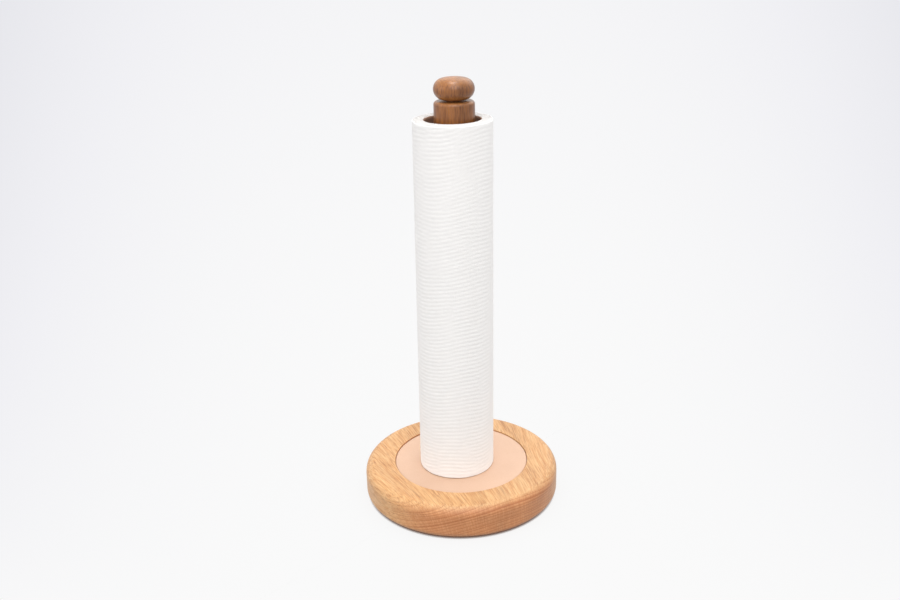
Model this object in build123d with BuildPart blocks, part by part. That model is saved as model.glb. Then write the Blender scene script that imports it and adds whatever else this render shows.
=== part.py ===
"""Countertop paper towel holder, loaded with a nearly used roll.

A turned oak disc carries a leather inlay and an upright hardwood post. The post stands on the
inlay by its shoulder: its tenon passes through the leather into a mortise in the disc, and a
machine screw from below draws it down. A bun-shaped knob is dowelled to the top of the post.
The roll is a paperboard tube with the towels wound on it. It stands loosely round the post, a
little off centre, turns there, and lifts off upwards.

Millimetres, +Z up. The origin is on the surface that the holder stands on, under the centre of
the disc. The front of the holder faces -Y.
"""

import os
from math import asin, atan, degrees

from build123d import *

# ---- Driving dimensions ----------------------------------------------------------------

# Feet: self-adhesive pads let into the underside of the disc
FOOT_COUNT = 4
FOOT_RADIUS = 8.0
FOOT_THICKNESS = 2.4
FOOT_PROUD = 1.2
FOOT_EDGE_ROUND = 0.5
FOOT_CIRCLE_RADIUS = 61.0
FOOT_START_ANGLE = 45.0
FOOT_POCKET_CLEARANCE = 0.2

# Oak disc
BASE_RADIUS = 78.0
BASE_THICKNESS = 25.4
BASE_TOP_ROUND = 8.0
BASE_BOTTOM_ROUND = 4.0
RECESS_RADIUS = 53.9
RECESS_DEPTH = 3.2
RECESS_EDGE_ROUND = 0.4

# Leather inlay
LEATHER_RADIUS = 53.75
LEATHER_THICKNESS = 2.6
LEATHER_EDGE_ROUND = 0.5

# Post and its tenon
POST_RADIUS = 15.0
POST_HEIGHT = 292.1
POST_TOP_ROUND = 2.5
TENON_RADIUS = 11.0
TENON_DEPTH_IN_BASE = 10.0
TENON_END_CHAMFER = 0.8
MORTISE_CLEARANCE = 0.05
MORTISE_END_GAP = 0.4
LEATHER_HOLE_CLEARANCE = 0.2

# Knob: a dome over a round rim, with a very short neck that stands on the post
KNOB_RADIUS = 15.0
KNOB_HEIGHT = 16.9
KNOB_RIM_ROUND = 7.7
NECK_RADIUS = 5.0

# Fluted dowel between the knob and the post
DOWEL_RADIUS = 4.0
DOWEL_LENGTH = 30.0
DOWEL_END_CHAMFER = 0.8
DOWEL_DEPTH_IN_KNOB = 10.5
DOWEL_HOLE_CLEARANCE = 0.05
DOWEL_HOLE_END_GAP = 0.5
DOWEL_FLUTE_COUNT = 14
DOWEL_FLUTE_RADIUS = 0.45

# M6 button head screw, its washer, and the threaded insert in the post
SCREW_RADIUS = 3.0
SCREW_LENGTH = 25.0
SCREW_TIP_CHAMFER = 0.6
SCREW_HEAD_RADIUS = 5.25
SCREW_HEAD_HEIGHT = 3.3
SCREW_HEAD_ROUND = 2.0
SOCKET_ACROSS_FLATS = 4.0
SOCKET_DEPTH = 2.1
SCREW_HOLE_RADIUS = 3.3
WASHER_RADIUS = 9.0
WASHER_HOLE_RADIUS = 3.2
WASHER_THICKNESS = 1.6
COUNTERBORE_RADIUS = 10.0
COUNTERBORE_DEPTH = 6.0
INSERT_BODY_RADIUS = 4.5
INSERT_RIDGE_RADIUS = 5.3
INSERT_LENGTH = 15.0
INSERT_RIDGE_PITCH = 2.5
INSERT_RIDGE_WIDTH = 1.4
INSERT_SETBACK = 0.4
SCREW_TIP_ROOM = 3.0

# Roll: a paperboard tube and the towels wound on it, for sheets 11 inches wide
ROLL_OFFSET_X = -1.4
ROLL_OFFSET_Y = -0.9
TUBE_INNER_RADIUS = 20.6
TUBE_WALL = 0.7
TUBE_SETBACK = 0.6
TOWEL_INNER_RADIUS = 21.6
TOWEL_OUTER_RADIUS = 29.5
TOWEL_WIDTH = 279.4
TOWEL_EDGE_ROUND = 0.8

# ---- Heights that follow from them -----------------------------------------------------

base_bottom = FOOT_PROUD
base_top = base_bottom + BASE_THICKNESS
recess_floor = base_top - RECESS_DEPTH
leather_top = recess_floor + LEATHER_THICKNESS
tenon_end = recess_floor - TENON_DEPTH_IN_BASE
mortise_floor = tenon_end - MORTISE_END_GAP
post_top = leather_top + POST_HEIGHT
knob_middle = post_top + KNOB_HEIGHT / 2
dowel_bottom = post_top + DOWEL_DEPTH_IN_KNOB - DOWEL_LENGTH
screw_seat = base_bottom + COUNTERBORE_DEPTH - WASHER_THICKNESS
insert_bottom = tenon_end + INSERT_SETBACK
insert_hole_end = screw_seat + SCREW_LENGTH + SCREW_TIP_ROOM


def finish(piece, name):
    """Labels a finished piece and writes it as one STEP file."""
    piece.part.label = name
    export_step(piece.part, f"parts/{name}.step")


os.makedirs("parts", exist_ok=True)

# ---- Oak disc --------------------------------------------------------------------------

with BuildPart() as base:
    with BuildSketch(Plane.XY.offset(base_bottom)):
        Circle(BASE_RADIUS)
    extrude(amount=BASE_THICKNESS)
    rims = base.edges().filter_by(GeomType.CIRCLE).sort_by(Axis.Z)
    fillet(rims[-1], BASE_TOP_ROUND)
    fillet(rims[0], BASE_BOTTOM_ROUND)
    with Locations((0, 0, base_top)):
        Hole(RECESS_RADIUS, depth=RECESS_DEPTH)
    top_rims = base.edges().filter_by(GeomType.CIRCLE).group_by(Axis.Z)[-1]
    fillet(top_rims.sort_by(SortBy.RADIUS)[0], RECESS_EDGE_ROUND)
    with Locations((0, 0, recess_floor)):
        Hole(TENON_RADIUS + MORTISE_CLEARANCE, depth=recess_floor - mortise_floor)
    with Locations(Plane(origin=(0, 0, base_bottom), z_dir=(0, 0, -1))):
        CounterBoreHole(
            SCREW_HOLE_RADIUS,
            counter_bore_radius=COUNTERBORE_RADIUS,
            counter_bore_depth=COUNTERBORE_DEPTH,
            depth=mortise_floor - base_bottom,
        )
        with PolarLocations(FOOT_CIRCLE_RADIUS, FOOT_COUNT, start_angle=FOOT_START_ANGLE):
            Hole(FOOT_RADIUS + FOOT_POCKET_CLEARANCE, depth=FOOT_THICKNESS - FOOT_PROUD)
finish(base, "base")

# ---- Feet ------------------------------------------------------------------------------

foot_places = PolarLocations(FOOT_CIRCLE_RADIUS, FOOT_COUNT, start_angle=FOOT_START_ANGLE)
for number, place in enumerate(foot_places.locations, start=1):
    with BuildPart() as foot:
        with BuildSketch(Plane(place)):
            Circle(FOOT_RADIUS)
        extrude(amount=FOOT_THICKNESS)
        fillet(foot.edges().sort_by(Axis.Z)[0], FOOT_EDGE_ROUND)
    finish(foot, f"foot_{number}")

# ---- Leather inlay ---------------------------------------------------------------------

with BuildPart() as leather:
    with BuildSketch(Plane.XY.offset(recess_floor)):
        Circle(LEATHER_RADIUS)
        Circle(TENON_RADIUS + LEATHER_HOLE_CLEARANCE, mode=Mode.SUBTRACT)
    extrude(amount=LEATHER_THICKNESS)
    top_rims = leather.edges().group_by(Axis.Z)[-1]
    fillet(top_rims.sort_by(SortBy.RADIUS)[-1], LEATHER_EDGE_ROUND)
finish(leather, "leather_inlay")

# ---- Post ------------------------------------------------------------------------------

with BuildPart() as post:
    with BuildSketch(Plane.XY.offset(leather_top)):
        Circle(POST_RADIUS)
    extrude(amount=POST_HEIGHT)
    with BuildSketch(Plane.XY.offset(leather_top)):
        Circle(TENON_RADIUS)
    extrude(amount=tenon_end - leather_top)
    rings = post.edges().filter_by(GeomType.CIRCLE).sort_by(Axis.Z)
    fillet(rings[-1], POST_TOP_ROUND)
    chamfer(rings[0], TENON_END_CHAMFER)
    with Locations(Plane(origin=(0, 0, tenon_end), z_dir=(0, 0, -1))):
        Hole(INSERT_BODY_RADIUS, depth=insert_hole_end - tenon_end)
    with Locations((0, 0, post_top)):
        Hole(
            DOWEL_RADIUS + DOWEL_HOLE_CLEARANCE,
            depth=post_top - dowel_bottom + DOWEL_HOLE_END_GAP,
        )
finish(post, "post")

# ---- Knob ------------------------------------------------------------------------------

# The rim arc is tangent to the same shallow dome above and below.
knob_half = KNOB_HEIGHT / 2
rim_centre = KNOB_RADIUS - KNOB_RIM_ROUND
dome_radius = (rim_centre**2 + knob_half**2 - KNOB_RIM_ROUND**2) / (2 * (knob_half - KNOB_RIM_ROUND))
dome_angle = degrees(atan(rim_centre / (dome_radius - knob_half)))
neck_angle = degrees(asin(NECK_RADIUS / dome_radius))

with BuildPart() as knob:
    with BuildSketch(Plane.XZ):
        with BuildLine():
            top = (0, knob_middle + knob_half)
            dome = JernArc(top, (1, 0), dome_radius, -dome_angle)
            rim = JernArc(dome @ 1, dome % 1, KNOB_RIM_ROUND, 2 * dome_angle - 180)
            under = JernArc(rim @ 1, rim % 1, dome_radius, neck_angle - dome_angle)
            Polyline(under @ 1, (NECK_RADIUS, post_top), (0, post_top), top)
        make_face()
    revolve(axis=Axis.Z)
    with Locations(Plane(origin=(0, 0, post_top), z_dir=(0, 0, -1))):
        Hole(DOWEL_RADIUS + DOWEL_HOLE_CLEARANCE, depth=DOWEL_DEPTH_IN_KNOB + DOWEL_HOLE_END_GAP)
finish(knob, "knob")

# ---- Dowel that joins the knob to the post ---------------------------------------------

with BuildPart() as dowel:
    with BuildSketch(Plane.XY.offset(dowel_bottom)):
        Circle(DOWEL_RADIUS)
        with PolarLocations(DOWEL_RADIUS, DOWEL_FLUTE_COUNT):
            Circle(DOWEL_FLUTE_RADIUS, mode=Mode.SUBTRACT)
    extrude(amount=DOWEL_LENGTH)
    # The ends are turned to a blunt point by cutting away what lies outside a chamfered rod.
    with BuildSketch(Plane.XZ):
        with Locations((0, dowel_bottom + DOWEL_LENGTH / 2)):
            Rectangle(2 * DOWEL_RADIUS, DOWEL_LENGTH)
        chamfer(vertices(), DOWEL_END_CHAMFER)
        split(bisect_by=Plane.YZ)
    revolve(axis=Axis.Z, mode=Mode.INTERSECT)
finish(dowel, "knob_dowel")

# ---- Threaded insert in the post -------------------------------------------------------

with BuildPart() as insert:
    with BuildSketch(Plane.XY.offset(insert_bottom)):
        Circle(INSERT_BODY_RADIUS)
    extrude(amount=INSERT_LENGTH)
    # Knife-edged ridges that bite into the wood
    ridge_height = insert_bottom + INSERT_RIDGE_PITCH / 2
    while ridge_height + INSERT_RIDGE_WIDTH < insert_bottom + INSERT_LENGTH:
        with BuildSketch(Plane.XZ):
            with BuildLine():
                Polyline(
                    (INSERT_BODY_RADIUS, ridge_height),
                    (INSERT_RIDGE_RADIUS, ridge_height + INSERT_RIDGE_WIDTH / 2),
                    (INSERT_BODY_RADIUS, ridge_height + INSERT_RIDGE_WIDTH),
                    (SCREW_RADIUS, ridge_height + INSERT_RIDGE_WIDTH / 2),
                    close=True,
                )
            make_face()
        revolve(axis=Axis.Z)
        ridge_height += INSERT_RIDGE_PITCH
    with Locations((0, 0, insert_bottom + INSERT_LENGTH)):
        Hole(SCREW_RADIUS, depth=INSERT_LENGTH)
finish(insert, "threaded_insert")

# ---- Washer ----------------------------------------------------------------------------

with BuildPart() as washer:
    with BuildSketch(Plane.XY.offset(screw_seat)):
        Circle(WASHER_RADIUS)
        Circle(WASHER_HOLE_RADIUS, mode=Mode.SUBTRACT)
    extrude(amount=WASHER_THICKNESS)
finish(washer, "washer")

# ---- Screw -----------------------------------------------------------------------------

with BuildPart() as screw:
    with BuildSketch(Plane.XY.offset(screw_seat)):
        Circle(SCREW_RADIUS)
    extrude(amount=SCREW_LENGTH)
    chamfer(screw.edges().sort_by(Axis.Z)[-1], SCREW_TIP_CHAMFER)
    with BuildSketch(Plane.XY.offset(screw_seat)):
        Circle(SCREW_HEAD_RADIUS)
    extrude(amount=-SCREW_HEAD_HEIGHT)
    fillet(screw.edges().sort_by(Axis.Z)[0], SCREW_HEAD_ROUND)
    with BuildSketch(Plane.XY.offset(screw_seat - SCREW_HEAD_HEIGHT)):
        RegularPolygon(SOCKET_ACROSS_FLATS / 2, 6, major_radius=False)
    extrude(amount=SOCKET_DEPTH, mode=Mode.SUBTRACT)
finish(screw, "base_screw")

# ---- Paperboard tube of the roll -------------------------------------------------------

roll_centre = Plane((ROLL_OFFSET_X, ROLL_OFFSET_Y, leather_top))

with BuildPart() as tube:
    with BuildSketch(roll_centre):
        Circle(TUBE_INNER_RADIUS + TUBE_WALL)
        Circle(TUBE_INNER_RADIUS, mode=Mode.SUBTRACT)
    extrude(amount=TOWEL_WIDTH - TUBE_SETBACK)
finish(tube, "towel_tube")

# ---- Towels wound on the tube ----------------------------------------------------------

with BuildPart() as towels:
    with BuildSketch(roll_centre):
        Circle(TOWEL_OUTER_RADIUS)
        Circle(TOWEL_INNER_RADIUS, mode=Mode.SUBTRACT)
    extrude(amount=TOWEL_WIDTH)
    outer_rims = towels.edges().filter_by(GeomType.CIRCLE).sort_by(SortBy.RADIUS)[-2:]
    fillet(outer_rims, TOWEL_EDGE_ROUND)
finish(towels, "towels")
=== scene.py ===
"""Looks for the paper towel holder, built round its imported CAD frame.

The turned wood and the hardware keep their CAD shapes and get wood, metal and rubber materials.
The roll, its paperboard tube and the leather inlay are replaced by finer meshes: the towels get
their embossed ribs, wound layers and free edge, the tube its spiral seam, the leather its soft
edge. Metres throughout, in the row frame: +Z up, -Y the front.
"""

import math
import random

import bpy
import numpy as np
from mathutils import Matrix, Vector


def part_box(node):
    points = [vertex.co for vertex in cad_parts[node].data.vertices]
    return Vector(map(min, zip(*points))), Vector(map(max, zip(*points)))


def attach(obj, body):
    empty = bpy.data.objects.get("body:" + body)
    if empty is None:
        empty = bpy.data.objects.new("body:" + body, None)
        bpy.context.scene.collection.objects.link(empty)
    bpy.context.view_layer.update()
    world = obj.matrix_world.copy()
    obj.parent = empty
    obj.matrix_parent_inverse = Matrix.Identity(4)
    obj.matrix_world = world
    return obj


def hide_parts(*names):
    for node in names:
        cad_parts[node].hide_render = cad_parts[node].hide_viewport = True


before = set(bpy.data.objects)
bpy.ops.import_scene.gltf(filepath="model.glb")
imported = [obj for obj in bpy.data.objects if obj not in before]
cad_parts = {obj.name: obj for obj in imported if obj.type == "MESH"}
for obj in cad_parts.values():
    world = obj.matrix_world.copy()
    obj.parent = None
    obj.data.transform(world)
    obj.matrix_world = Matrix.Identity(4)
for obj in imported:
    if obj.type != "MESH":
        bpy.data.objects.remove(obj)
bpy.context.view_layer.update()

MM = 0.001
TURN = 2 * math.pi


# ---- Node trees ------------------------------------------------------------------------


def grey(level):
    """The linear grey of that brightness."""
    return (level, level, level, 1.0)


def set_stops(color_ramp, stops):
    """Gives a colour ramp its stops, each (place, colour)."""
    while len(color_ramp.elements) < len(stops):
        color_ramp.elements.new(0.5)
    for element, (place, shade) in zip(color_ramp.elements, stops):
        element.position = place
        element.color = shade


class Graph:
    """One material's node tree, called g below. Its methods add nodes and return their outputs."""

    def __init__(self, name, **settings):
        """settings are constants on the shader's own sockets, such as Roughness=0.5."""
        self.material = bpy.data.materials.new(name)
        self.material.use_nodes = True
        self.tree = self.material.node_tree
        self.shader = self.tree.nodes["Principled BSDF"]
        for socket, value in settings.items():
            self.shader.inputs[socket.replace("_", " ")].default_value = value

    def add(self, kind, inputs, output=0, **settings):
        """Adds a shader node of that kind. inputs are values or outputs, by socket."""
        node = self.tree.nodes.new("ShaderNode" + kind)
        for name, value in settings.items():
            setattr(node, name, value)
        for key, value in inputs.items():
            self.fill(node.inputs[key], value)
        return node.outputs[output]

    def fill(self, socket, value):
        """Links an output to a socket, or sets the socket to a constant."""
        if isinstance(value, bpy.types.NodeSocket):
            self.tree.links.new(value, socket)
        else:
            socket.default_value = value

    def math(self, operation, *values):
        return self.add("Math", dict(enumerate(values)), operation=operation)

    def vector(self, operation, *values, output=0):
        return self.add("VectorMath", dict(enumerate(values)), output, operation=operation)

    def mix(self, share, first, second, blend="MIX"):
        """Colours first and second, with that share of the second."""
        inputs = {0: share, 6: first, 7: second}
        return self.add("Mix", inputs, 2, data_type="RGBA", blend_type=blend)

    def span(self, value, low, high, new_low=0.0, new_high=1.0, smooth=False):
        """value carried from low...high to new_low...new_high, and held there."""
        kind = "SMOOTHSTEP" if smooth else "LINEAR"
        inputs = {0: value, 1: low, 2: high, 3: new_low, 4: new_high}
        return self.add("MapRange", inputs, interpolation_type=kind)

    def ramp(self, value, *stops):
        """The colour at value between stops, each (place, colour)."""
        output = self.add("ValToRGB", {0: value})
        set_stops(output.node.color_ramp, stops)
        return output

    def noise(self, place, scale=1.0, detail=2.0, roughness=0.5, output=0):
        """Noise round 0.5 with features about 1/scale apart. Output 1 is three of them, as a colour."""
        inputs = {"Vector": place, "Scale": scale, "Detail": detail, "Roughness": roughness}
        return self.add("TexNoise", inputs, output)

    def place(self, stretch=(1, 1, 1), turn=(0, 0, 0), shift=(0, 0, 0), of=None):
        """of, or else object coordinates in millimetres, stretched, turned and shifted."""
        if of is None:
            of = self.add("TexCoord", {}, 3)
            stretch = [s / MM for s in stretch]
        return self.add("Mapping", {0: of, 1: shift, 2: turn, 3: stretch})

    def axes(self, place):
        """The three coordinates of place."""
        node = self.add("SeparateXYZ", {0: place}).node
        return node.outputs[0], node.outputs[1], node.outputs[2]

    def bump(self, height, depth, strength=1.0, under=None):
        """height from 0 to 1 raised by depth in metres, on top of the bump under."""
        inputs = {"Height": height, "Distance": depth, "Strength": strength}
        if under is not None:
            inputs["Normal"] = under
        return self.add("Bump", inputs)

    def finish(self, **links):
        """Fills the shader's sockets, such as Base_Color=body, and returns the material."""
        for socket, value in links.items():
            self.fill(self.shader.inputs[socket.replace("_", " ")], value)
        return self.material


def colour(red, green, blue):
    """The linear colour of an 8-bit screen colour."""
    channels = []
    for c in (red / 255, green / 255, blue / 255):
        channels.append(c / 12.92 if c <= 0.04045 else ((c + 0.055) / 1.055) ** 2.4)
    return (*channels, 1.0)


# ---- Wood ------------------------------------------------------------------------------


def wood(
    name, tones, turn, pith, ring, sway, grain, bands, end_tint_and_highlight, pore_depth, pore_share,
    ring_share, shine, fan=0.0, painted_side_light=(2, 15.0, 0.0),
):
    """Solid wood, with the same figure on every face of the piece that it is cut from.

    turn brings the grain onto X. pith is the tree's centre across the grain, (y, z) in turned
    millimetres, ring the growth rings' spacing and sway how far they wander. tones are the colour
    between rings, at rings and in pores, and end_tint_and_highlight is what end grain is multiplied
    by: below 1 it is end grain's own darker tint, above 1 a painted highlight on the end grain. grain
    is the streaks per millimetre, and bands the number per millimetre and the strength of wider
    bands. pore_share is how strongly pores show, ring_share how strongly rings do on long grain
    and on end grain, and shine the least and greatest roughness. fan is how fast the grain draws
    together along X. painted_side_light is the axis along which the piece is painted paler, as
    painted light from one side, the half width over which it does, and by how much.
    """
    light, dark, pore = tones
    g = Graph(name, Roughness=0.5, IOR=1.5)
    straight = g.place(turn=turn)
    along, across, up = g.axes(straight)
    across = g.math("DIVIDE", across, g.math("MULTIPLY_ADD", along, -fan, 1.0))
    straight = g.add("CombineXYZ", {0: along, 1: across, 2: up})
    wander = g.noise(g.place((0.006, 0.014, 0.014), turn), detail=1.0, output=1)
    wander = g.vector("SUBTRACT", wander, (0.5, 0.5, 0.5))
    ripple = g.noise(g.place((0.03, 0.07, 0.07), turn), detail=2.0, output=1)
    ripple = g.vector("SUBTRACT", ripple, (0.5, 0.5, 0.5))
    swayed = g.vector("MULTIPLY_ADD", wander, (0, sway, sway), straight)
    ripple_sway = sway * 0.14
    swayed = g.vector("MULTIPLY_ADD", ripple, (0, ripple_sway, ripple_sway), swayed)
    along, across, up = g.axes(g.vector("SUBTRACT", swayed, (0, *pith)))

    # Growth rings: each starts with a dark band of large pores and pales outwards.
    radius = g.vector("LENGTH", g.add("CombineXYZ", {1: across, 2: up}), output=1)
    years = g.math("DIVIDE", radius, ring)
    unequal = g.noise(g.add("CombineXYZ", {0: g.math("MULTIPLY", years, 0.6)}), detail=1.0)
    rings = g.math("FRACT", g.math("MULTIPLY_ADD", unequal, 2.4, years))
    early = g.ramp(rings, (0.0, grey(1)), (0.16, grey(0.5)), (0.45, grey(0.12)), (0.86, grey(0)),
                   (1.0, grey(1)))

    # Rays: thin pale walls that stand across the rings.
    swing = g.math("MULTIPLY", g.math("ARCTAN2", up, across), math.hypot(*pith))
    rays = g.add("CombineXYZ", {0: g.math("MULTIPLY", along, 0.2), 1: swing,
                                2: g.math("MULTIPLY", radius, 0.09)})
    rays = g.span(g.noise(rays, scale=0.95, detail=1.0), 0.48, 0.62, smooth=True)

    # Pores and fibres: fine streaks along the grain.
    pores = g.noise(g.place((0.06, 1.5, 1.5), of=swayed), detail=2.0, roughness=0.6)
    pores = g.span(pores, 0.5, 0.66, smooth=True)
    pores = g.math("MULTIPLY", pores, g.span(early, 0.0, 1.0, 0.5, 1.0))
    fibres = g.noise(g.place((0.045, grain, grain), of=swayed), detail=3.0, roughness=0.66)
    clouds = g.noise(g.place((0.008, bands[0], bands[0]), of=swayed), detail=1.0)

    # End grain faces along X. It shows rings and rays more, and streaks and pores less.
    facing = g.place(turn=turn, of=g.add("TexCoord", {}, 1))
    end = g.span(g.math("ABSOLUTE", g.axes(facing)[0]), 0.3, 0.85, smooth=True)

    streaks = g.mix(g.math("MULTIPLY", end, 0.7), g.span(fibres, 0.32, 0.68), grey(0.45))
    body = g.mix(streaks, light, dark)
    rays_share = g.span(end, 0.0, 1.0, 0.12, 0.68)
    body = g.mix(g.math("MULTIPLY", rays, rays_share), body, light)
    rings_share = g.span(end, 0.0, 1.0, *ring_share)
    body = g.mix(g.math("MULTIPLY", early, rings_share), body, g.mix(0.35, dark, pore))
    pores_share = g.span(end, 0.0, 1.0, pore_share, pore_share * 0.5)
    body = g.mix(g.math("MULTIPLY", pores, pores_share), body, pore)
    band = g.span(clouds, 0.3, 0.7, 1.0 - bands[1], 1.0 + bands[1])
    body = g.mix(1.0, body, band, "MULTIPLY")
    # Painted light: the piece is painted paler towards one side and darker towards the other, standing
    # in for light from that side.
    axis, half_width, change = painted_side_light
    side = g.axes(g.place(turn=turn))[axis]
    side = g.span(side, -half_width, half_width, 1.0 - change, 1.0 + change)
    body = g.mix(1.0, body, side, "MULTIPLY")

    # End grain takes up oil differently, so it has a tint of its own. A tint above 1 is instead a
    # painted highlight on the end grain.
    body = g.mix(end, body, g.mix(1.0, body, end_tint_and_highlight, "MULTIPLY"))

    relief = g.math("SUBTRACT", 1.0, g.math("MAXIMUM", pores, g.math("MULTIPLY", early, 0.5)))
    rough = g.span(fibres, 0.2, 0.8, *shine)
    return g.finish(Base_Color=body, Roughness=rough, Normal=g.bump(relief, pore_depth, 0.6))


def oak():
    """Oiled oak. Its grain runs from front to back, a little askew."""
    grain_off_depth = math.radians(19)
    return wood(
        "oak_oiled",
        tones=(colour(221, 180, 130), colour(191, 133, 79), colour(138, 82, 43)),
        turn=(0, 0, math.pi / 2 - grain_off_depth),
        pith=(18.0, -196.0),
        ring=2.5,
        sway=6.0,
        grain=0.85,
        bands=(0.05, 0.08),
        end_tint_and_highlight=(0.86, 0.65, 0.6, 1),
        pore_depth=0.05 * MM,
        pore_share=0.68,
        ring_share=(0.3, 0.8),
        shine=(0.34, 0.5),
        fan=1 / 340,
        # Painted light: the base is painted a little paler towards the left.
        painted_side_light=(1, 78.0, -0.05),
    )


def cherry():
    """Oiled cherry, upright."""
    return wood(
        "cherry_oiled",
        tones=(colour(161, 105, 57), colour(101, 56, 26), colour(66, 33, 16)),
        turn=(0, math.pi / 2, 0),
        pith=(38.0, 27.0),
        ring=2.6,
        sway=6.0,
        grain=1.15,
        bands=(0.13, 0.18),
        # Painted highlight: this tint above 1 pales and whitens the end grain on the knob and post,
        # standing in for the highlight on the knob's top.
        end_tint_and_highlight=(1.14, 1.22, 1.3, 1),
        pore_depth=0.03 * MM,
        pore_share=0.3,
        ring_share=(0.1, 0.3),
        shine=(0.23, 0.36),
        # Painted light: the post and knob are painted paler towards the left.
        painted_side_light=(2, 15.0, 0.24),
    )


def beech():
    """Bare beech, upright."""
    return wood(
        "beech_bare",
        tones=(colour(226, 192, 150), colour(206, 166, 122), colour(170, 124, 84)),
        turn=(0, math.pi / 2, 0),
        pith=(60.0, 10.0),
        ring=3.0,
        sway=3.0,
        grain=0.6,
        bands=(0.08, 0.05),
        end_tint_and_highlight=(0.9, 0.88, 0.86, 1),
        pore_depth=0.02 * MM,
        pore_share=0.3,
        ring_share=(0.2, 0.6),
        shine=(0.4, 0.55),
    )


# ---- Leather, paper, board, metal and rubber ---------------------------------------------


def leather(edge_radius):
    """Smooth undyed vegetable-tanned leather, faintly mottled, with a darker rubbed edge."""
    g = Graph("leather_natural", Roughness=0.5, IOR=1.45, Sheen_Weight=0.08, Sheen_Roughness=0.5)
    mottle = g.noise(g.place((0.045,) * 3), detail=4.0, roughness=0.6)
    grain = g.noise(g.place((1.7,) * 3), detail=3.0, roughness=0.65)
    cells = g.add("TexVoronoi", {"Vector": g.place((1.5,) * 3), "Randomness": 1.0},
                  feature="DISTANCE_TO_EDGE")
    creases = g.span(cells, 0.0, 0.16, smooth=True)
    x, y, _ = g.axes(g.place())
    radius = g.vector("LENGTH", g.add("CombineXYZ", {0: x, 1: y}), output=1)
    rubbed = g.span(radius, edge_radius / MM - 0.6, edge_radius / MM, smooth=True)
    body = g.mix(g.span(mottle, 0.3, 0.7), colour(216, 181, 156), colour(211, 175, 149))
    body = g.mix(g.span(grain, 0.35, 0.65, 0.0, 0.35), body, colour(200, 160, 129))
    body = g.mix(g.math("MULTIPLY", rubbed, 0.5), body, colour(168, 118, 84))
    fine = g.bump(creases, 0.02 * MM, 0.5)
    return g.finish(Base_Color=body, Roughness=g.span(grain, 0.3, 0.7, 0.44, 0.56),
                    Normal=g.bump(grain, 0.02 * MM, 0.5, under=fine))


def towel_paper(top, lean, seam_angle):
    """Soft white tissue: matt, with a crepe, loose fibres and a line of perforations.

    top is the middle of the roll's upper end, and lean how far its outermost turn goes aside along
    X and Y per metre of height. The roll's ends show the edges of the wound layers, painted grey,
    with darker painted shade in the gaps between them.
    """
    g = Graph("towel_paper", Roughness=0.95, IOR=1.4, Sheen_Weight=0.15, Sheen_Roughness=0.6)
    crepe = g.noise(g.place((1.4, 1.4, 4.2)), detail=4.0, roughness=0.7)
    fibres = g.noise(g.place((0.5, 0.5, 6.0), turn=(0.35, 0.2, 0)), detail=5.0, roughness=0.75)
    clouds = g.noise(g.place((0.12,) * 3), detail=3.0)

    # Places on the roll as they were before its outer turns leaned, in millimetres.
    x, y, z = g.axes(g.place(shift=[-c / MM for c in top]))
    radius = g.vector("LENGTH", g.add("CombineXYZ", {0: x, 1: y}), output=1)
    outer = g.math("MULTIPLY", z, g.span(radius, TUBE_RADIUS / MM, TOWEL_RADIUS / MM, 0.0, -1.0))
    x = g.math("MULTIPLY_ADD", outer, lean[0], x)
    y = g.math("MULTIPLY_ADD", outer, lean[1], y)
    radius = g.vector("LENGTH", g.add("CombineXYZ", {0: x, 1: y}), output=1)

    # Perforations: a dashed line from end to end, on the outermost turns only.
    dash_pitch = 4.0
    outermost = g.span(radius, 28.2, 28.4)
    swing = g.math("ARCTAN2", y, x)
    beside = g.math("ABSOLUTE", g.math("SUBTRACT", swing, seam_angle))
    line = g.span(beside, 0.0, 0.012, 1.0, 0.0)
    dashes = g.span(g.math("FRACT", g.math("DIVIDE", z, dash_pitch)), 0.16, 0.24)
    slits = g.math("MULTIPLY", g.math("MULTIPLY", line, dashes), outermost)

    body = g.mix(g.span(clouds, 0.3, 0.7), colour(244, 242, 240), colour(242, 240, 238))
    body = g.mix(g.span(fibres, 0.5, 0.8, 0.0, 0.25), body, colour(233, 231, 228))
    body = g.mix(g.math("MULTIPLY", slits, 0.55), body, colour(168, 164, 160))

    # Ends: painted shade. Each layer's edge is painted a pale grey and the gap beside it a darker grey,
    # as shade between the wound layers, darker where the winding is loose.
    from_front = g.math("DIVIDE", g.math("ARCTAN2", x, g.math("MULTIPLY", y, -1.0)), TURN)
    turns = g.math("DIVIDE", g.math("SUBTRACT", radius, TUBE_RADIUS / MM), LAYER / MM)
    turns = g.math("SUBTRACT", turns, from_front)
    painted_gap_shade = g.math("ABSOLUTE", g.math("MULTIPLY_ADD", g.math("FRACT", turns), 2.0, -1.0))
    loose = g.noise(g.add("CombineXYZ", {0: turns, 1: from_front}), scale=0.7, detail=2.0)
    painted_gap_shade = g.math("MULTIPLY", g.span(painted_gap_shade, 0.3, 1.0, smooth=True), g.span(loose, 0.3, 0.6, 0.4, 1.0))
    edges = g.mix(painted_gap_shade, colour(205, 203, 201), colour(176, 173, 170))
    facing = g.math("ABSOLUTE", g.axes(g.add("TexCoord", {}, 1))[2])
    body = g.mix(g.span(facing, 0.55, 0.9, smooth=True), body, edges)

    under = g.bump(crepe, 0.06 * MM, 0.7)
    under = g.bump(g.math("SUBTRACT", 1.0, slits), 0.15 * MM, 0.8, under=under)
    return g.finish(Base_Color=body, Normal=g.bump(fibres, 0.04 * MM, 0.6, under=under))


def paperboard():
    """Grey-brown recycled board with darker specks."""
    g = Graph("paperboard", Roughness=0.85, IOR=1.4)
    pulp = g.noise(g.place((0.5, 0.5, 1.6)), detail=5.0, roughness=0.7)
    specks = g.noise(g.place((2.2,) * 3), detail=2.0)
    body = g.mix(g.span(pulp, 0.3, 0.7), colour(150, 118, 98), colour(124, 94, 76))
    body = g.mix(g.span(specks, 0.62, 0.72, 0.0, 0.5), body, colour(86, 66, 54))
    return g.finish(Base_Color=body, Normal=g.bump(pulp, 0.05 * MM, 0.6))


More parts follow.
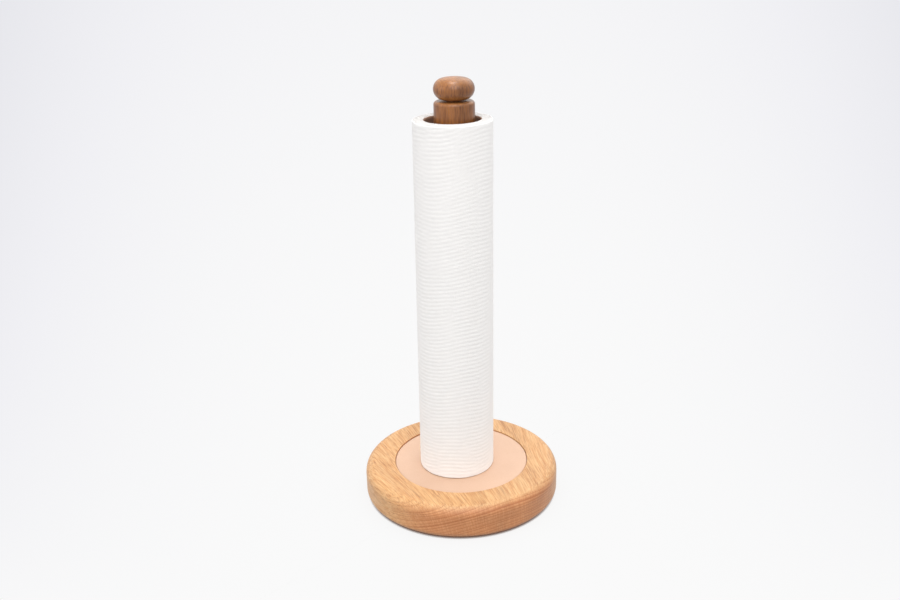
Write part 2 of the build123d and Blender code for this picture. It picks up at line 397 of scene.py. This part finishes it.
def metal(name, shade, stain, roughness, streak):
    """Bright metal with turning marks round Z."""
    g = Graph(name, Metallic=1.0, Roughness=roughness)
    x, y, z = g.axes(g.place())
    radius = g.vector("LENGTH", g.add("CombineXYZ", {0: x, 1: y}), output=1)
    marks = g.noise(g.add("CombineXYZ", {0: g.math("MULTIPLY", radius, 9.0), 2: z}), detail=2.0)
    haze = g.noise(g.place((0.4,) * 3), detail=3.0)
    body = g.mix(g.span(haze, 0.35, 0.7), shade, stain)
    rough = g.span(marks, 0.3, 0.7, roughness - streak, roughness + streak)
    return g.finish(Base_Color=body, Roughness=rough, Normal=g.bump(marks, 0.01 * MM, 0.4))


def foot_rubber():
    """Dark matt rubber, moulded with a fine texture and a little dusty."""
    g = Graph("foot_rubber", Roughness=0.8, IOR=1.5)
    dust = g.noise(g.place((0.35,) * 3), detail=4.0)
    pebble = g.add("TexVoronoi", {"Vector": g.place((2.4,) * 3)}, feature="F1")
    body = g.mix(g.span(dust, 0.4, 0.75), colour(44, 41, 38), colour(66, 62, 57))
    return g.finish(Base_Color=body, Roughness=g.span(dust, 0.3, 0.7, 0.7, 0.9),
                    Normal=g.bump(pebble, 0.04 * MM, 0.6))


def dress(node, material):
    """Gives a CAD node its finished material."""
    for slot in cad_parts[node].material_slots:
        slot.material = material


# ---- Meshes ----------------------------------------------------------------------------


def grid_mesh(name, points, material, wrap_rows=True):
    """A smooth mesh over points[row, column, xyz].

    Every row is a closed loop, and wrap_rows joins the last row to the first.
    """
    rows, columns = points.shape[:2]
    joined_rows = rows if wrap_rows else rows - 1
    row, column = np.meshgrid(np.arange(joined_rows), np.arange(columns), indexing="ij")
    next_row, next_column = (row + 1) % rows, (column + 1) % columns
    corners = [row * columns + column, row * columns + next_column,
               next_row * columns + next_column, next_row * columns + column]
    faces = np.stack(corners, -1).reshape(-1, 4)
    mesh = bpy.data.meshes.new(name)
    mesh.from_pydata(points.reshape(-1, 3).tolist(), [], faces.tolist())
    mesh.polygons.foreach_set("use_smooth", [True] * len(faces))
    mesh.materials.append(material)
    mesh.validate()
    mesh.update()
    piece = bpy.data.objects.new(name, mesh)
    bpy.context.scene.collection.objects.link(piece)
    return piece


def ring_section(inner, outer, low, high, edge, counts):
    """The outline of a ring's cross-section, counter-clockwise from the foot of its outer wall.

    Returns radius, height and outward normal (radial, vertical) for each point. edge rounds the
    two outer corners. counts are the points on the outer wall, a corner, an end and the inner wall.
    """
    wall_count, corner_count, end_count, inner_count = counts
    stretches = []
    heights = np.linspace(low + edge, high - edge, wall_count)
    stretches.append((np.full(wall_count, outer), heights, np.ones(wall_count), np.zeros(wall_count)))
    bend = np.linspace(0, math.pi / 2, corner_count + 2)[1:-1]
    stretches.append((outer - edge + edge * np.cos(bend), high - edge + edge * np.sin(bend),
                      np.cos(bend), np.sin(bend)))
    across = np.linspace(outer - edge, inner, end_count)
    stretches.append((across, np.full(end_count, high), np.zeros(end_count), np.ones(end_count)))
    heights = np.linspace(high, low, inner_count + 2)[1:-1]
    stretches.append((np.full(inner_count, inner), heights, -np.ones(inner_count),
                      np.zeros(inner_count)))
    stretches.append((across[::-1], np.full(end_count, low), np.zeros(end_count),
                      -np.ones(end_count)))
    bend = bend - math.pi / 2
    stretches.append((outer - edge + edge * np.cos(bend), low + edge + edge * np.sin(bend),
                      np.cos(bend), np.sin(bend)))
    return [np.concatenate(part) for part in zip(*stretches)]


def turned(radius, height, angle, axis):
    """Points at radius, height and angle round a vertical axis. Angle 0 is the front, -Y."""
    radius, angle, height = np.broadcast_arrays(radius, angle, height)
    return np.stack([axis.x + radius * np.sin(angle), axis.y - radius * np.cos(angle), height], -1)


# ---- Towels ----------------------------------------------------------------------------

TOWEL_LOW, TOWEL_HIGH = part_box("towels")
TOWEL_AXIS = (TOWEL_LOW + TOWEL_HIGH) / 2
TOWEL_RADIUS = (TOWEL_HIGH.x - TOWEL_LOW.x) / 2
TOWEL_LENGTH = TOWEL_HIGH.z - TOWEL_LOW.z
TUBE_LOW, TUBE_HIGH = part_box("towel_tube")
TUBE_RADIUS = (TUBE_HIGH.x - TUBE_LOW.x) / 2

# The winding: how thick a layer lies, how far the outermost turn's foot stands to the left and to
# the front of its top, and how much greater its radius is there.
LAYER = 0.4 * MM
LEAN_X = 2.0 * MM
LEAN_Y = 2.2 * MM
LOOSENESS = 0.25 * MM

# The embossed ribs. Each turn to the right they rise by -RIB_CLIMB pitches, and swing up and down
# RIB_SWING_LOBES times. Towards the foot they get deeper, by the share RIB_DEEPER_BELOW.
RIB_PITCH = 3.15 * MM
RIB_HEIGHT = 0.053 * MM
RIB_DEEPER_BELOW = 0.45
RIB_CLIMB = -6
RIB_SWING = 1.5 * MM
RIB_SWING_LOBES = 3
WRINKLE = 0.22 * MM

# The outermost sheet's free stretch.
SHEET_THICKNESS = 0.36 * MM
EDGE_LIFT = 1.5 * MM
EDGE_LIFTS_FROM = 0.62
EDGE_WAVE_LENGTH = 95 * MM


def rib_waves():
    """Waves that are nearly alike: their sum is a train of ribs that wander, fork and fade."""
    dice = random.Random(11)
    waves = []
    for _ in range(18):
        climb = RIB_CLIMB + round(dice.gauss(0, 2.2))
        pitch = RIB_PITCH * (1 + dice.gauss(0, 0.033))
        waves.append((climb, pitch, dice.uniform(0, TURN), dice.uniform(0.5, 1.0)))
    return waves


def wrinkle_waves():
    """Short waves that make the ribs' lines unsteady."""
    dice = random.Random(12)
    waves = []
    for _ in range(9):
        around = dice.choice((-1, 1)) * dice.randint(14, 44)
        waves.append((around, dice.uniform(5, 14) * MM, dice.uniform(0, TURN)))
    return waves


RIB_WAVES = rib_waves()
WRINKLE_WAVES = wrinkle_waves()


def share_up(height):
    """How far up the roll a height is, from 0 to 1."""
    return (height - TOWEL_LOW.z) / TOWEL_LENGTH


def ribs(angle, height):
    """Height of the embossing over the towels' mean surface."""
    share = share_up(height)
    steepest = np.radians(-40 + 50 * share)
    swing = RIB_SWING * np.sin(RIB_SWING_LOBES * (angle - steepest))
    wrinkle = np.zeros(np.broadcast(angle, height).shape)
    for around, length, phase in WRINKLE_WAVES:
        wrinkle += np.cos(around * angle + TURN * height / length + phase) / 3
    place = height - swing - WRINKLE * wrinkle
    total = np.zeros(wrinkle.shape, complex)
    for climb, pitch, phase, weight in RIB_WAVES:
        total += weight * np.exp(1j * (climb * angle + TURN * place / pitch + phase))
    strength = sum(wave[3] for wave in RIB_WAVES)
    level = total.real / (np.abs(total) + 0.04 * strength)
    deep = RIB_HEIGHT * (1 + RIB_DEEPER_BELOW * (1 - share) ** 3)
    return deep * (1 + 0.3 * wrinkle) * (1 - 2 * ((1 - level) / 2) ** 1.5)


def wound_edge(radius, angle, seed):
    """How far the edges of the wound layers stand back from the end of the roll, from 0 down."""
    layers = 64
    turns = (radius - TUBE_RADIUS) / LAYER - angle / TURN
    layer = np.floor(turns).astype(int)
    dice = np.random.default_rng(seed)
    uneven = dice.uniform(0.0, 0.22 * MM, layers)[layer % layers]
    groove = np.abs(2 * (turns - layer) - 1) ** 4
    return -uneven - 0.16 * MM * groove


def leaning(radius, angle, height):
    """Where a point of the roll goes: its outer turns are loose, and lean aside towards the foot."""
    share = share_up(height)
    outward = np.clip((radius - TUBE_RADIUS) / (TOWEL_RADIUS - TUBE_RADIUS), 0, 1)
    points = turned(radius + outward * LOOSENESS * (0.5 - share), height, angle, TOWEL_AXIS)
    points[..., 0] += LEAN_X * (share - 1) * outward
    points[..., 1] += LEAN_Y * (share - 1) * outward
    return points


def wraps(name, inner, outer, edge, counts, columns, material):
    """Some of the wound towels as a closed ring, layered at its ends.

    Outermost turns have a rounded edge and are embossed. Others have the edge 0 and stay plain.
    """
    angle = np.linspace(0, TURN, columns, endpoint=False)[None, :]
    section = ring_section(inner, outer, TOWEL_LOW.z, TOWEL_HIGH.z, edge, counts)
    radius, height, radial, vertical = [part[:, None] for part in section]
    relief = np.clip(radial, 0, 1) * ribs(angle, height) if edge else 0.0
    relief = relief + np.clip(vertical, 0, 1) * wound_edge(radius, angle, 3)
    relief = relief + np.clip(-vertical, 0, 1) * wound_edge(radius, angle, 5)
    points = leaning(radius + relief * radial, angle, height + relief * vertical)
    piece = grid_mesh(name, points, material)
    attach(piece, "roll_towels")
    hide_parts("towels")


def free_edge(name, end_angle, arc, material):
    """The last stretch of the outermost sheet, whose cut edge stands a little off the roll."""
    columns, rows = 28, 630
    share = np.linspace(0, 1, columns)[None, :]
    angle = end_angle - arc * (1 - share)
    height = np.linspace(TOWEL_LOW.z + 0.5 * MM, TOWEL_HIGH.z - 0.5 * MM, rows)[:, None]
    surface = TOWEL_RADIUS + ribs(angle, height)
    wave = 1 + 0.35 * np.sin(TURN * height / EDGE_WAVE_LENGTH + 0.8)
    lifted = np.clip((share - EDGE_LIFTS_FROM) / (1 - EDGE_LIFTS_FROM), 0, 1)
    # It comes up out of the roll's surface, lies on it, and lifts off near the cut edge.
    over = (0.42 * share - 0.04) * MM
    outside = surface + over + EDGE_LIFT * wave * lifted**2
    thickness = SHEET_THICKNESS * np.clip(share * 6, 0.1, 1)
    outer_face = leaning(outside, angle, height)
    inner_face = leaning(outside - thickness, angle, height)
    shell = np.concatenate([outer_face, inner_face[:, ::-1]], axis=1)
    piece = grid_mesh(name, shell, material, wrap_rows=False)
    close_ends(piece, rows, 2 * columns)
    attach(piece, "roll_towels")


def close_ends(piece, rows, columns):
    """Fills the open first and last row of a tube of points that folds flat."""
    faces = []
    half = columns // 2
    for row in (0, rows - 1):
        start = row * columns
        for i in range(half - 1):
            quad = [start + i, start + i + 1, start + columns - 2 - i, start + columns - 1 - i]
            faces.append(quad if row == 0 else quad[::-1])
    mesh = piece.data
    points = [v.co[:] for v in mesh.vertices]
    faces += [list(p.vertices) for p in mesh.polygons]
    mesh.clear_geometry()
    mesh.from_pydata(points, [], faces)
    mesh.polygons.foreach_set("use_smooth", [True] * len(faces))
    mesh.validate()
    mesh.update()


# ---- Tube ------------------------------------------------------------------------------


def tube(name, material):
    """The roll's paperboard tube, with the shallow seam of its spiral winding inside and out."""
    wall, edge = 0.7 * MM, 0.05 * MM
    seam_pitch, seam_width, seam_depth = 62 * MM, 0.9 * MM, 0.18 * MM
    angle = np.linspace(0, TURN, 144, endpoint=False)[None, :]
    section = ring_section(TUBE_RADIUS - wall, TUBE_RADIUS, TUBE_LOW.z, TUBE_HIGH.z, edge,
                           (180, 2, 4, 180))
    radius, height, radial, _ = [part[:, None] for part in section]
    turns = height / seam_pitch - angle / TURN
    from_seam = np.abs((turns - np.round(turns)) * seam_pitch)
    groove = seam_depth * np.exp(-((from_seam / seam_width) ** 2))
    points = turned(radius - groove * radial, height, angle, TOWEL_AXIS)
    piece = grid_mesh(name, points, material)
    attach(piece, "roll_tube")
    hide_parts("towel_tube")


# ---- Leather inlay ---------------------------------------------------------------------

LEATHER_LOW, LEATHER_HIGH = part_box("leather_inlay")
LEATHER_RADIUS = (LEATHER_HIGH.x - LEATHER_LOW.x) / 2


def inlay(name, material):
    """The leather disc: flat where the post and the roll stand, and thinned towards its rim."""
    axis = (LEATHER_LOW + LEATHER_HIGH) / 2
    hole_radius, edge = 11.2 * MM, 0.7 * MM
    thin_depth, thin_width = 0.22 * MM, 5 * MM
    flat_radius, uneven_depth, uneven_width = 32 * MM, 0.02 * MM, 10 * MM
    angle = np.linspace(0, TURN, 256, endpoint=False)[None, :]
    section = ring_section(hole_radius, LEATHER_RADIUS, LEATHER_LOW.z, LEATHER_HIGH.z, edge,
                           (5, 6, 90, 3))
    radius, height, *_ = [part[:, None] for part in section]
    upper = (height - LEATHER_LOW.z) / (LEATHER_HIGH.z - LEATHER_LOW.z)
    near_rim = np.clip((radius - LEATHER_RADIUS + thin_width) / thin_width, 0, 1)
    dice = random.Random(4)
    waves = 0.0
    for lobes in (2, 3, 5):
        waves = waves + np.sin(lobes * angle + dice.uniform(0, TURN) + radius * 90)
    beyond_flat = np.clip((radius - flat_radius) / uneven_width, 0, 1)
    unevenness = uneven_depth * (waves / 3 - 1) * beyond_flat
    points = turned(radius, height + upper * (unevenness - thin_depth * near_rim**2), angle, axis)
    piece = grid_mesh(name, points, material)
    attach(piece, "holder")
    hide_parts("leather_inlay")


# ---- Build the object ------------------------------------------------------------------

FREE_EDGE_ANGLE = math.radians(150)
PERFORATION_ANGLE = math.radians(118)
INNER_WRAPS_RADIUS = 27.4 * MM

dress("base", oak())
post_wood = cherry()
dress("post", post_wood)
dress("knob", post_wood)
dress("knob_dowel", beech())
dress("threaded_insert", metal("brass_turned", colour(214, 176, 104), colour(188, 146, 80), 0.32, 0.08))
steel = metal("steel_zinc", colour(196, 198, 200), colour(168, 170, 174), 0.36, 0.1)
dress("base_screw", steel)
dress("washer", steel)
rubber = foot_rubber()
for number in range(1, 5):
    dress(f"foot_{number}", rubber)

inlay("leather_disc", leather(LEATHER_RADIUS))
towel_top = (TOWEL_AXIS.x, TOWEL_AXIS.y, TOWEL_HIGH.z)
paper = towel_paper(towel_top, (LEAN_X / TOWEL_LENGTH, LEAN_Y / TOWEL_LENGTH), PERFORATION_ANGLE)
towel_inner = TUBE_RADIUS + 0.3 * MM
wraps("towel_wraps_outer", INNER_WRAPS_RADIUS, TOWEL_RADIUS, 1.1 * MM, (630, 6, 9, 2), 144, paper)
wraps("towel_wraps_inner", towel_inner, INNER_WRAPS_RADIUS, 0.0, (0, 0, 70, 2), 144, paper)
free_edge("towel_free_edge", FREE_EDGE_ANGLE, math.radians(42), paper)
tube("paperboard_tube", paperboard())


# ---- Floor, light and camera -----------------------------------------------------------

# The floor's light. Distance is counted to the front and to the back from the line y = FLOOR_LINE,
# where it already is FLOOR_NEAR. The light fades beyond the distance FLOOR_EVEN, and fanwise to
# either side of x = FLOOR_MIDDLE times the distance. FADE_WHOLE is the end of the fades' scale.
FLOOR_LINE = -0.4
FLOOR_NEAR = 0.32
FLOOR_EVEN = 0.57
FLOOR_MIDDLE = 0.011
FADE_FAR, FADE_FAR_POWER = 7.5, 2.89
FADE_ASIDE, FADE_ASIDE_FAR, FADE_ASIDE_POWER = 8.1, 131.0, 2.72
FADE_WHOLE = 24.0

# How bright the floor is as a light, compared with how bright it looks.
FLOOR_BOUNCE = 0.48


def floor():
    """A wide pale floor that glows softly, as an overlit one does, and dims under the object."""
    mesh = bpy.data.meshes.new("floor")
    reach = 30.0
    mesh.from_pydata([(-reach, -reach, 0), (reach, -reach, 0), (reach, reach, 0), (-reach, reach, 0)],
                     [], [(0, 1, 2, 3)])
    plane = bpy.data.objects.new("floor", mesh)
    bpy.context.scene.collection.objects.link(plane)
    g = Graph("floor_pale")

    # The light on the floor fades into the distance, and fanwise to either side.
    x, y, _ = g.axes(g.add("TexCoord", {}, 3))
    distance = g.math("ADD", g.math("ABSOLUTE", g.math("SUBTRACT", y, FLOOR_LINE)), FLOOR_NEAR)
    far = g.math("MAXIMUM", g.math("SUBTRACT", 1.0, g.math("DIVIDE", FLOOR_EVEN, distance)), 0.0)
    aside = g.math("ABSOLUTE", g.math("SUBTRACT", g.math("DIVIDE", x, distance), FLOOR_MIDDLE))
    fan = g.math("MULTIPLY", g.math("POWER", aside, FADE_ASIDE_POWER),
                 g.math("MULTIPLY_ADD", far, FADE_ASIDE_FAR, FADE_ASIDE))
    fade = g.math("MULTIPLY_ADD", g.math("POWER", far, FADE_FAR_POWER), FADE_FAR, fan)
    tone = g.ramp(g.math("DIVIDE", fade, FADE_WHOLE), (0.0, colour(250, 250, 250)),
                  (0.2, colour(245.5, 245.4, 247)), (0.42, colour(240.5, 240.3, 244)),
                  (0.68, colour(234, 234, 238.6)), (0.94, colour(228, 228.6, 233.7)))

    # Painted shade: it dims near the object, and is painted brown in the slit right under its rim.
    tight = g.math("SUBTRACT", 1.0, g.add("AmbientOcclusion", {"Distance": 3 * MM}, 1, samples=16))
    wide = g.math("SUBTRACT", 1.0, g.add("AmbientOcclusion", {"Distance": 40 * MM}, 1, samples=16))
    shaded = g.mix(g.math("MULTIPLY", g.math("POWER", wide, 2.0), 0.3), tone, (0.62, 0.5, 0.45, 1))
    shaded = g.mix(g.span(tight, 0.32, 0.72), shaded, (0.13, 0.065, 0.04, 1))

    # As a light it is dimmer, so that it doesn't flood the object.
    lighting = g.add("LightPath", {}, "Is Diffuse Ray")
    glow = g.add("Emission", {0: shaded, 1: g.span(lighting, 0.0, 1.0, 1.0, FLOOR_BOUNCE)})
    output = g.tree.nodes["Material Output"]
    g.tree.links.new(glow, output.inputs["Surface"])
    mesh.materials.append(g.material)


def softbox(name, place, size, brightness):
    """A square diffuser of that radiance, facing the middle of the object."""
    middle = Vector((0, 0, 0.17))
    data = bpy.data.lights.new(name, "AREA")
    data.size = size
    data.energy = brightness * math.pi * size * size
    lamp = bpy.data.objects.new(name, data)
    lamp.location = place
    lamp.rotation_euler = (middle - lamp.location).to_track_quat("-Z", "Y").to_euler()
    bpy.context.scene.collection.objects.link(lamp)


def studio_light():
    """A white room, with diffusers behind, above and in front, and a weaker one on the left."""
    world = bpy.data.worlds.new("studio")
    bpy.context.scene.world = world
    world.use_nodes = True
    nodes, links = world.node_tree.nodes, world.node_tree.links
    direction = nodes.new("ShaderNodeSeparateXYZ")
    ramp = nodes.new("ShaderNodeValToRGB")
    links.new(nodes.new("ShaderNodeTexCoord").outputs[0], direction.inputs[0])
    links.new(direction.outputs[2], ramp.inputs[0])
    links.new(ramp.outputs[0], nodes["Background"].inputs[0])
    # Brightness by height: a dimmer horizon, bright walls and a dimmer ceiling.
    set_stops(ramp.color_ramp, ((0.0, grey(0.8)), (0.03, grey(0.85)), (0.2, grey(1.1)),
                                (0.5, grey(1.1)), (1.0, grey(0.76))))
    nodes["Background"].inputs[1].default_value = 1.0
    softbox("softbox_back", (0.5, 0.65, 1.1), 1.2, 0.85)
    softbox("softbox_over", (-0.05, 0.02, 1.4), 0.55, 5.6)
    softbox("softbox_front", (0.04, -0.85, 1.15), 1.0, 2.1)
    softbox("softbox_left", (-1.3, -0.2, 0.6), 1.0, 0.5)


def camera():
    """The photographer's place: in front, a little to the left, looking down."""
    back, side, height = 720.7 * MM, -5.4 * MM, 442.1 * MM
    yaw, pitch, roll = math.radians(0.063), math.radians(21.03), math.radians(-1.31)
    data = bpy.data.cameras.new("camera")
    data.lens, data.sensor_width = 40.03, 36.0
    data.clip_start, data.clip_end = 0.05, 100.0
    view = bpy.data.objects.new("camera", data)
    bpy.context.scene.collection.objects.link(view)
    turn = Matrix.Rotation(yaw, 4, "Z") @ Matrix.Rotation(math.pi / 2 - pitch, 4, "X")
    turn = turn @ Matrix.Rotation(roll, 4, "Z")
    view.matrix_world = Matrix.Translation((side, -back, height)) @ turn
    bpy.context.scene.camera = view


floor()
studio_light()
camera()
bpy.context.scene.view_settings.view_transform = "Standard"
